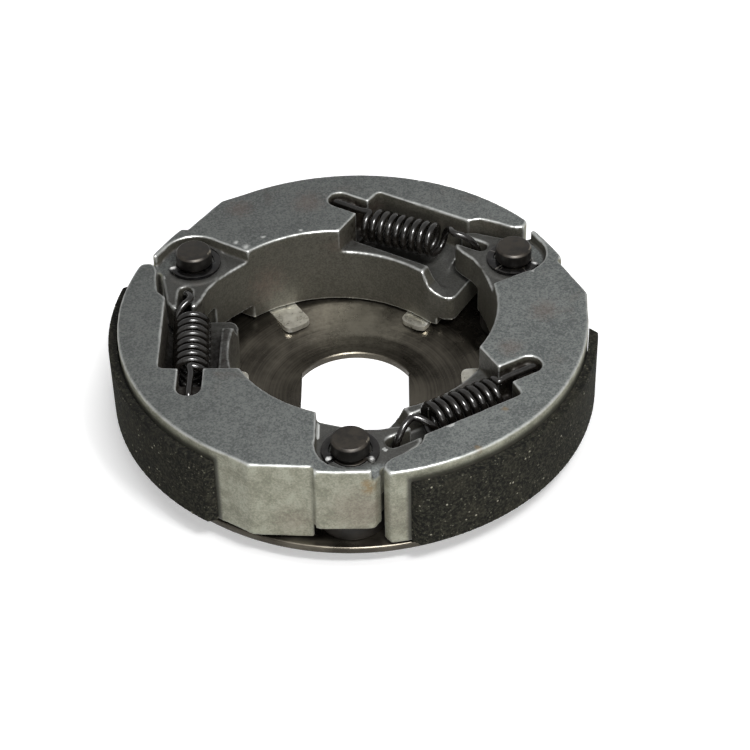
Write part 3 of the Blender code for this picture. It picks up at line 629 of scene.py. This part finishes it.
def cast_skin(node):
    """The CAD shoe under an even, softened skin; hands back its points and faces as arrays."""
    mesh = frame["nodes"][node].data.copy()
    tidy(mesh, 2e-6)
    rough = add("rough_casting", mesh)
    skin = rough.modifiers.new("skin", "REMESH")
    skin.mode = "VOXEL"
    skin.voxel_size = CAST_VOXEL
    soft = rough.modifiers.new("soft", "SMOOTH")
    soft.factor = 0.5
    soft.iterations = CAST_PASSES
    graph = bpy.context.evaluated_depsgraph_get()
    made = bpy.data.meshes.new_from_object(rough.evaluated_get(graph))
    points = np.empty(len(made.vertices) * 3)
    made.vertices.foreach_get("co", points)
    faces = np.empty(len(made.polygons) * 4, dtype=np.int32)
    made.polygons.foreach_get("vertices", faces)
    bpy.data.objects.remove(rough)
    return points.reshape(-1, 3), faces.reshape(-1, 4)


def round_lug(points):
    """Round the lug's free corner in plan. Seen from a middle C, the wall at angle a lies at distance
    d(a); it moves to R, or back to d(a) past the corner, and inner points follow as (r / d)^4."""
    x, y = points[:, 0] - LUG_C[0], points[:, 1] - LUG_C[1]
    r, a = np.hypot(x, y), np.degrees(np.arctan2(y, x))
    near = (a > LUG_FROM_DEG) & (a < LUG_TO_DEG) & (r < LUG_REACH)
    wall = near & (points[:, 2] > LUG_WALL_LOW) & (points[:, 2] < LUG_WALL_HIGH)
    steps = np.arange(LUG_FROM_DEG, LUG_TO_DEG + 1, LUG_STEP_DEG)
    edge = np.array([r[wall & (np.abs(a - step) < LUG_WINDOW_DEG)].max() for step in steps])
    d = np.interp(a, steps, edge)
    back = np.clip(a / LUG_BACK_DEG, 0, 1)
    goal = np.where(a < 0, LUG_R, LUG_R + (d - LUG_R) * back)
    scale = np.where(near, 1 + (goal / d - 1) * np.clip(r / d, 0, 1) ** 4, 1.0)[:, None]
    moved = points.copy()
    moved[:, :2] = LUG_C + (points[:, :2] - LUG_C) * scale
    return moved


def shoe(copy, points, faces):
    """One shoe from the shared skin, turned to its place."""
    name = f"cast_shoe_{copy}"
    mesh = bpy.data.meshes.new(name)
    mesh.from_pydata(turned_by(points, copy).tolist(), [], faces.tolist())
    mesh.shade_smooth()
    mesh.materials.append(FINISHES["cast_aluminium"])
    return dress(add(name, mesh), f"weight_{copy}", "cast_aluminium", f"shoe_{copy}")


skin_points, skin_faces = cast_skin("shoe_1")
skin_points = round_lug(skin_points)
shoes = [shoe(copy, skin_points, skin_faces) for copy in (1, 2, 3)]
print("shoes", len(shoes), "skin", len(skin_points), "points", len(skin_faces), "faces")

# %% [markdown]
# ## Linings
# A lining is a strip bonded round the shoe's back. Its section is a rounded rectangle carried along
# an arc about the clutch axis; the outer edge covers a shorter arc, so both ends slope.

# %% Linings
LINING_IN, LINING_OUT = 51.2 * MM, 53.2 * MM
LINING_FROM_DEG, LINING_TO_DEG, LINING_SLOPE_DEG = 163.7, 237.3, 1.8
LINING_STEPS, LINING_ROUND = 220, 0.32 * MM
CHIP_RIM, CHIP_FACE = 0.05 * MM, 0.04 * MM
END_SIZE, END_T = [0.0, 0.72, 0.93], [0.0, 0.0, 0.0008]


def lining(copy):
    """Section point (s, z), s from 0 inside to 1 outside, is carried to radius in + s (out - in) and
    angle from + t (to - from), where from and to close in by s * slope. A product of three sines
    chips the rim and the outer face, and three rings that shrink round each end."""
    low, high = span_z(f"lining_{copy}")
    thick = LINING_OUT - LINING_IN
    corners = [(0, low), (thick, low), (thick, high), (0, high)]
    section = soften(corners, LINING_ROUND, 6, closed=True)
    middle = np.array([[thick / 2, (low + high) / 2]])
    shrink = np.array(END_SIZE + [1.0] * LINING_STEPS + END_SIZE[::-1])[:, None, None]
    along = np.linspace(0, 1, LINING_STEPS) * 0.996 + 0.002
    t = np.concatenate([END_T, along, 1 - np.array(END_T[::-1])])[:, None]
    flat = middle + (section[None] - middle) * shrink
    s = flat[..., 0] / thick
    start, end = LINING_FROM_DEG + LINING_SLOPE_DEG * s, LINING_TO_DEG - LINING_SLOPE_DEG * s
    angle = np.radians(start + (end - start) * t)
    z = flat[..., 1]
    chip = np.sin(angle * 613 + z * 5200) * np.sin(angle * 271 - z * 3100) * np.sin(angle * 97)
    rim = np.abs(section[:, 1] - middle[0, 1]) / (high - low) * 2
    z = z + CHIP_RIM * chip * (rim > 0.93) * np.sign(middle[0, 1] - z)
    radius = LINING_IN + flat[..., 0] - CHIP_FACE * (1 + chip) * (s > 0.9)
    grid = np.stack([radius * np.cos(angle), radius * np.sin(angle), z], axis=-1)
    obj = surface(f"bonded_lining_{copy}", turned_by(grid, copy), "friction_lining")
    return dress(obj, f"weight_{copy}", "friction_lining", f"lining_{copy}")


linings = [lining(copy) for copy in (1, 2, 3)]
print("lining faces", len(linings[0].data.polygons))

# %% [markdown]
# ## Backplate
# A pressed steel disc: flat round the bore, a dish, then a flat rim. Each ring of the grid keeps its
# own radius, except the bore's, which follows a circle with two flats: r = min(R, h / |cos a|).

# %% Backplate
PLATE_R, PLATE_T = 50.8 * MM, 1.8 * MM
DISH_DEPTH, DISH_R, DISH_BLEND = 3.0 * MM, 29.3 * MM, 1.8 * MM
HUB_FLAT_R, HUB_R, HUB_BLEND, HUB_RISE = 16.0 * MM, 17.0 * MM, 2.8 * MM, 0.3 * MM
UNDER_IN, DISH_EASE, PRESS_ROUND = 0.4 * MM, 0.5 * MM, 0.6 * MM
BORE_R, BORE_HALF_FLAT = 14.1 * MM, 12.05 * MM
PLATE_STEPS = 720
BORE_EDGE = 0.25 * MM


def backplate():
    """Rings from the bore over the top, round the rim and back below, at z of the pressed profile."""
    top = PLATE_T + DISH_DEPTH
    upper = [(HUB_FLAT_R, PLATE_T), (HUB_R, PLATE_T), (HUB_R + HUB_BLEND, PLATE_T + HUB_RISE),
             (DISH_R - DISH_BLEND, top - DISH_EASE), (DISH_R, top), (PLATE_R, top)]
    lower = [(PLATE_R, DISH_DEPTH), (DISH_R - UNDER_IN, DISH_DEPTH),
             (DISH_R - DISH_BLEND - UNDER_IN, DISH_DEPTH - DISH_EASE),
             (HUB_R + HUB_BLEND - UNDER_IN, HUB_RISE), (HUB_R - UNDER_IN, 0), (HUB_FLAT_R, 0)]
    profile = soften(upper + lower, PRESS_ROUND, 7)
    corner = np.arccos(BORE_HALF_FLAT / BORE_R)
    a = np.linspace(0, 2 * np.pi, PLATE_STEPS, endpoint=False)
    a = np.unique(np.concatenate([a, [corner, np.pi - corner, np.pi + corner, 2 * np.pi - corner]]))
    bore = np.minimum(BORE_R, BORE_HALF_FLAT / np.maximum(np.abs(np.cos(a)), 1e-6))
    edge = [(BORE_EDGE, 0.0), (0.0, BORE_EDGE), (0.0, PLATE_T - BORE_EDGE), (BORE_EDGE, PLATE_T)]
    r = np.array([bore + out for out, _ in edge] + [np.full_like(a, r) for r, _ in profile])
    z = np.array([h for _, h in edge] + [h for _, h in profile])[:, None] + 0 * r
    grid = np.stack([r * np.cos(a), r * np.sin(a), z], axis=-1)
    obj = surface("dished_backplate", grid, "plate_steel", wrap=(True, True), smooth_deg=30)
    return dress(obj, "hub_plate", "plate_steel", "backplate")


plate = backplate()
print("plate faces", len(plate.data.polygons))

# %% [markdown]
# ## Tongues
# Six short tongues reach inwards over the dish, in pairs astride the pins. Each is a closed strip,
# whose width narrows towards the tip as a blunt ellipse, and Bevel rounds its edges.

# %% Tongues
TONGUE_TIP, TONGUE_ROOT, TONGUE_W, TONGUE_T = 23.8 * MM, 33.0 * MM, 6.4 * MM, 1.2 * MM
TONGUES, TONGUE_RISE, TONGUE_OFF_DEG, TONGUE_BEVEL = 6, 0.3 * MM, 32.5, 0.3 * MM
TIP_PART, TIP_POWER = 0.26, 3.2


def tongue(number):
    """Strip point (u, v): radius = tip + u (root - tip) and across = v * half width * w(u), where w is
    (1 - (1 - u/c)^p)^(1/p) up to u = c, the rounded part, and 1 beyond it."""
    sign = 1 if number % 2 else -1
    angle = np.radians(90 + 120 * ((number - 1) // 2) + sign * TONGUE_OFF_DEG)
    u = np.linspace(0, 1, 28)[:, None] ** 1.6
    v = np.linspace(-1, 1, 17)[None, :]
    width = np.clip(1 - (1 - np.minimum(u / TIP_PART, 1)) ** TIP_POWER, 0, 1) ** (1 / TIP_POWER)
    along = TONGUE_TIP + u * (TONGUE_ROOT - TONGUE_TIP) + 0 * v
    across = v * width * TONGUE_W / 2
    top = DISH_DEPTH + PLATE_T + TONGUE_RISE
    sheet_top, sheet_low = [np.stack([along, across, np.full_like(along, height)], axis=-1)
                            for height in (top, top - TONGUE_T)]
    loop = np.concatenate([sheet_top, sheet_low[:, ::-1]], axis=1)
    closed = np.concatenate([gathered(loop[:1]), loop, gathered(loop[-1:])])
    obj = surface(f"backplate_tongue_{number}", closed @ spin_z(angle).T, "tongue_steel")
    rim = obj.modifiers.new("rim", "BEVEL")
    rim.width, rim.segments, rim.angle_limit = TONGUE_BEVEL, 3, np.radians(50)
    return dress(obj, "hub_plate", "plate_steel")


tongues = [tongue(number) for number in range(1, TONGUES + 1)]
print("tongues", len(tongues))

# %% [markdown]
# ## Pins, spacers, posts and rubbers
# These are lathe work, so each is a profile turned about its own axis. Small radii at the corners
# catch the light as the real ones do.

# %% Lathe work
PIN_CIRCLE_R = PIN_RING * MM
PIN_SPOT = (0.0, -PIN_CIRCLE_R)
DAMPER_SPOT = (-29.0 * MM, -29.0 * MM)
LATHE_SIDES = 96
PIN_R, PIN_NECK_R, PIN_GROOVE_R, PIN_FOOT_R = 4 * MM, 3 * MM, 3.1 * MM, 4.6 * MM
PIN_SHOULDER_Z, PIN_CHAMFER, PIN_TOP_R, FOOT_T = 4.85 * MM, 0.45 * MM, 3.55 * MM, 1.2 * MM
GROOVE_BELOW_CLIP, GROOVE_HEIGHT = 0.05 * MM, 1.0 * MM
SPACER_IN_R, SPACER_OUT_R = 4.1 * MM, 7.3 * MM
POST_R, POST_FOOT_R, RUBBER_IN_R, RUBBER_OUT_R = 2.5 * MM, 4.1 * MM, 2.6 * MM, 4.5 * MM


def lathe(name, copy, corners, radius, spot, slot, node, closed=False):
    """A softened (radius, z) profile turned about a pin's or post's own axis."""
    profile = soften(corners, radius, 6, closed)
    grid = turned_by(revolve(profile, LATHE_SIDES, spot), copy)
    obj = surface(f"{name}_{copy}", grid, slot, wrap=(closed, True))
    return dress(obj, "hub_plate", slot, f"{node}_{copy}")


def lathe_pieces(copy):
    """The pin with its clip groove, the spacer under the lug, and the damper's post and rubber."""
    low, high = span_z(f"pivot_pin_{copy}")
    groove = span_z(f"retaining_clip_{copy}")[0] - GROOVE_BELOW_CLIP
    lip = groove + GROOVE_HEIGHT
    pin = [(0, low), (PIN_FOOT_R, low), (PIN_FOOT_R, low + FOOT_T), (PIN_NECK_R, low + FOOT_T),
           (PIN_NECK_R, PIN_SHOULDER_Z), (PIN_R, PIN_SHOULDER_Z), (PIN_R, groove), (PIN_GROOVE_R, groove),
           (PIN_GROOVE_R, lip), (PIN_R, lip), (PIN_R, high - PIN_CHAMFER), (PIN_TOP_R, high), (0, high)]
    made = [lathe("pin", copy, pin, 0.16 * MM, PIN_SPOT, "pin_steel", "pivot_pin")]
    low, high = span_z(f"pivot_spacer_{copy}")
    ring = [(SPACER_IN_R, low), (SPACER_OUT_R, low), (SPACER_OUT_R, high), (SPACER_IN_R, high)]
    made.append(lathe("spacer", copy, ring, 0.45 * MM, PIN_SPOT, "spacer_steel", "pivot_spacer", True))
    low, high = span_z(f"damper_post_{copy}")
    post = [(0, low), (POST_FOOT_R, low), (POST_FOOT_R, low + FOOT_T), (POST_R, low + FOOT_T),
            (POST_R, high), (0, high)]
    made.append(lathe("post", copy, post, 0.35 * MM, DAMPER_SPOT, "pin_steel", "damper_post"))
    low, high = span_z(f"damper_rubber_{copy}")
    bush = [(RUBBER_IN_R, low), (RUBBER_OUT_R, low), (RUBBER_OUT_R, high), (RUBBER_IN_R, high)]
    made.append(lathe("rubber", copy, bush, 0.5 * MM, DAMPER_SPOT, "damper_rubber", "damper_rubber", True))
    return made


lathe_made = [piece for copy in (1, 2, 3) for piece in lathe_pieces(copy)]
print("lathe pieces", len(lathe_made))

# %% [markdown]
# ## Retaining clips
# An E-clip snaps into the pin's groove: a ring with an opening, three grips that touch the groove
# and wider relief between them. Its section is carried round the opening's arc, and the inner edge
# follows r(a), which steps between grip and relief.

# %% Retaining clips
CLIP_R, CLIP_GRIP_R, CLIP_RELIEF_R = 6.0 * MM, 3.15 * MM, 4.4 * MM
CLIP_OPEN_DEG, CLIP_PRONG_DEG, CLIP_BACK_DEG = 52.0, 22.0, 20.0
CLIP_STEPS, CLIP_STEEP, CLIP_ROUND = 241, 1.2, 0.12


def clip(copy):
    """Section point (s, h) at angle a lies at radius inner(a) + s (outer - inner(a)) and height h.
    inner(a) is grip within a prong or the back and relief elsewhere, by steps 1 / (1 + e^(k x)) of the
    degrees x beyond the grip. A row gathered at the first end closes it; the last end stays open."""
    low, high = span_z(f"retaining_clip_{copy}")
    a = np.linspace(-90 + CLIP_OPEN_DEG, 270 - CLIP_OPEN_DEG, CLIP_STEPS)
    from_back = np.abs(a - 90)
    from_end = 180 - CLIP_OPEN_DEG - from_back
    grip = np.maximum(1 / (1 + np.exp((from_back - CLIP_BACK_DEG) * CLIP_STEEP)),
                      1 / (1 + np.exp((from_end - CLIP_PRONG_DEG) * CLIP_STEEP)))
    inner = CLIP_RELIEF_R + (CLIP_GRIP_R - CLIP_RELIEF_R) * grip
    section = soften([(0, low), (1, low), (1, high), (0, high)], CLIP_ROUND, 4, closed=True)
    s, h = section.T
    radius = inner[:, None] + s[None] * (CLIP_R - inner[:, None])
    angle = np.radians(a)[:, None]
    grid = np.stack([radius * np.cos(angle), radius * np.sin(angle) - PIN_CIRCLE_R,
                     np.broadcast_to(h, radius.shape)], axis=-1)
    grid = np.concatenate([gathered(grid[:1]), grid])
    obj = surface(f"e_clip_{copy}", turned_by(grid, copy), "clip_steel")
    return dress(obj, "hub_plate", "clip_steel", f"retaining_clip_{copy}")


clips = [clip(copy) for copy in (1, 2, 3)]
print("clip faces", len(clips[0].data.polygons))

# %% [markdown]
# ## Return springs
# Each spring is one drawn wire: a hook over the saddle in its own shoe's slot, nearly nine close turns
# and a half loop that drops into the next shoe's nose. The wire is a circle carried along a path.

# %% Return springs
WIRE_R, COIL_R, COIL_TURNS = 0.75 * MM, 3.4 * MM, 8.75
COIL_START, COIL_END = np.array([-34.3, -15.7, 20.8]) * MM, np.array([-35.1, 1.9, 21.8]) * MM
OWN_HOOK = [(-34.0, -25.3, -4.4), (-34.0, -25.3, -2.0), (-34.0, -25.25, -0.9), (-34.0, -24.65, -0.1),
            (-34.0, -23.5, 0.05), (-34.0, -20.4, 0.0), (-34.0, -17.8, 0.0)]
FAR_HOOK = [(-38.16, 2.8, -1.7), (-36.97, 4.1, -0.5), (-35.61, 5.7, 0.0), (-36.1, 7.8, -0.4),
            (-36.9, 9.6, -1.8), (-37.3, 10.8, -3.8), (-37.3, 11.4, -6.2), (-37.3, 11.2, -8.2)]
WIRE_SIDES, TURN_POINTS, PATH_STEPS = 14, 12, 5


def through(points, steps):
    """Catmull-Rom curve: between P1 and P2 it is the cubic with slopes (P2 - P0) / 2 and (P3 - P1) / 2."""
    p = np.vstack([2 * points[0] - points[1], points, 2 * points[-1] - points[-2]])
    t = np.linspace(0, 1, steps, endpoint=False)[None, :, None]
    p0, p1, p2, p3 = (p[i:len(p) - 3 + i, None] for i in range(4))
    curve = 0.5 * (2 * p1 + (p2 - p0) * t + (2 * p0 - 5 * p1 + 4 * p2 - p3) * t ** 2
                   + (3 * p1 - p0 - 3 * p2 + p3) * t ** 3)
    return np.vstack([curve.reshape(-1, 3), points[-1:]])


def tube(path, radius, sides):
    """Grid of a round wire. A normal N that lies across the tangent T is turned back by the running
    sum of its own twist, so the section never spins; rings that shrink to a point round both ends."""
    tangent = unit(np.gradient(path, axis=0))
    n = unit(np.cross(tangent, np.eye(3)[np.argmin(np.abs(tangent), axis=1)]))
    b = np.cross(tangent, n)
    carried = n[:-1] - tangent[1:] * np.sum(n[:-1] * tangent[1:], axis=1, keepdims=True)
    twist = np.arctan2(np.sum(carried * b[1:], axis=1), np.sum(carried * n[1:], axis=1))
    turn = np.concatenate([[0.0], np.cumsum(twist)])[:, None]
    n, b = n * np.cos(turn) + b * np.sin(turn), b * np.cos(turn) - n * np.sin(turn)
    dome = np.radians([90, 60, 30])
    out = np.concatenate([-np.sin(dome), np.zeros(len(path)), np.sin(dome[::-1])])
    size = np.concatenate([np.cos(dome), np.ones(len(path)), np.cos(dome[::-1])])
    size[[0, -1]] = 0.0
    at = np.concatenate([np.zeros(3, int), np.arange(len(path)), np.full(3, len(path) - 1)])
    a = np.linspace(0, 2 * np.pi, sides, endpoint=False)
    cos, sin = np.cos(a)[None, :, None], np.sin(a)[None, :, None]
    centre = path[at] + tangent[at] * (out * radius)[:, None]
    return centre[:, None] + (n[at][:, None] * cos + b[at][:, None] * sin) * (size * radius)[:, None, None]


def spring_path():
    """Hook, coil and hook as one curve. The coil is centre(t) + R (sin a, 0, cos a), a = 2 pi turns t."""
    own, far = np.array(OWN_HOOK) * MM, np.array(FAR_HOOK) * MM
    own[:, 2] += COIL_START[2] + COIL_R
    far[:, 2] += COIL_END[2] + COIL_R
    t = np.linspace(0, 1, int(COIL_TURNS * TURN_POINTS) + 1)[:, None]
    a = 2 * np.pi * COIL_TURNS * t
    coil = COIL_START + (COIL_END - COIL_START) * t + COIL_R * np.hstack([np.sin(a), 0 * a, np.cos(a)])
    return through(np.vstack([own, coil, far]), PATH_STEPS)


def spring(copy):
    """One spring in its place; the CAD spring it stands for is hidden."""
    path = spring_path()
    obj = surface(f"coil_spring_{copy}", turned_by(tube(path, WIRE_R, WIRE_SIDES), copy), "spring_steel")
    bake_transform(obj)
    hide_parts(f"return_spring_{copy}")
    return obj


springs = [spring(copy) for copy in (1, 2, 3)]
print("spring faces", len(springs[0].data.polygons))

# %% [markdown]
# ## Floor, world and light
# A white floor that the camera, mirrors and glass see as white, yet which still takes the clutch's
# shadow: part of its colour is its own glow and part is what falls on it. The glow is low in a ring
# under the clutch's edge, where the shadow is, and full inside and outside that ring. Two lamps light
# the clutch, from above on the right and from the front. A third, high up, shows only as a reflection
# and gives the springs and edges their crisp highlights.

# %% Floor and world
FLOOR_HALF, FLOOR_DROP, FLOOR_GREY, FLOOR_ROUGH = 4.0, 0.05 * MM, 0.8, 0.9
GLOW_LOW, GLOW_FULL = 0.36, 1.0
GLOW_EDGES = [(34 * MM, 26 * MM), (51 * MM, 66 * MM)]
WORLD_STRENGTH = 0.08
WHITE = (1.0, 1.0, 1.0)


def white_rays(f):
    """1 for rays that come from the camera, a mirror or glass, else 0."""
    path = f.node("ShaderNodeLightPath").outputs
    return f.most(f.most(path["Is Camera Ray"], path["Is Glossy Ray"]), path["Is Transmission Ray"])


def floor_white():
    """Matt white whose glow is the greater of two straight ramps of the distance from the middle."""
    f = Finish("floor_white")
    away = f.vector("LENGTH", f.place)
    inner, outer = [f.ramp(away, start, end, GLOW_LOW, GLOW_FULL, "LINEAR") for start, end in GLOW_EDGES]
    glow = f.times(white_rays(f), f.most(inner, outer))
    return f.done(base_color=(FLOOR_GREY,) * 3, roughness=FLOOR_ROUGH, emission_color=WHITE,
                  emission_strength=glow)


def floor():
    """A square of floor under the clutch."""
    h = FLOOR_HALF
    mesh = bpy.data.meshes.new("floor")
    mesh.from_pydata([(-h, -h, 0), (h, -h, 0), (h, h, 0), (-h, h, 0)], [], [(0, 1, 2, 3)])
    mesh.materials.append(floor_white())
    obj = add("floor", mesh)
    obj.location.z = cad_box[0][2] - FLOOR_DROP
    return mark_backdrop(obj)


def world(strength):
    """White to the camera and to mirrors, softer as a source of light."""
    sky = bpy.data.worlds.new("studio")
    sky.use_nodes = True
    f = Nodes(sky.node_tree)
    background = f.tree.nodes["Background"].inputs
    f.feed(background["Color"], WHITE)
    f.feed(background["Strength"], f.ramp(white_rays(f), 0.0, 1.0, strength, 1.0, "LINEAR"))
    bpy.context.scene.world = sky


floor()
world(WORLD_STRENGTH)
print("floor at z", round((cad_box[0][2] - FLOOR_DROP) / MM, 2), "mm")


# %% Lamps
LAMP_AIM = Vector((0, 0, 0.02))


def softbox(name, place, size, power, glint=False):
    """A square lamp at a place, aimed at the clutch. A glint lamp shows only as a reflection."""
    data = bpy.data.lights.new(name, "AREA")
    data.shape, data.size, data.energy = "SQUARE", size, power
    obj = add(name, data)
    obj.location = place
    obj.rotation_euler = (LAMP_AIM - Vector(place)).to_track_quat("-Z", "Y").to_euler()
    obj.visible_diffuse = not glint


softbox("key", (0.11, -0.15, 0.30), size=0.07, power=0.57)
softbox("front", (0.04, -0.50, 0.22), size=0.16, power=0.97)
softbox("glint", (0.06, -0.26, 0.52), size=0.13, power=11.0, glint=True)
bpy.context.scene.view_settings.view_transform = "Standard"
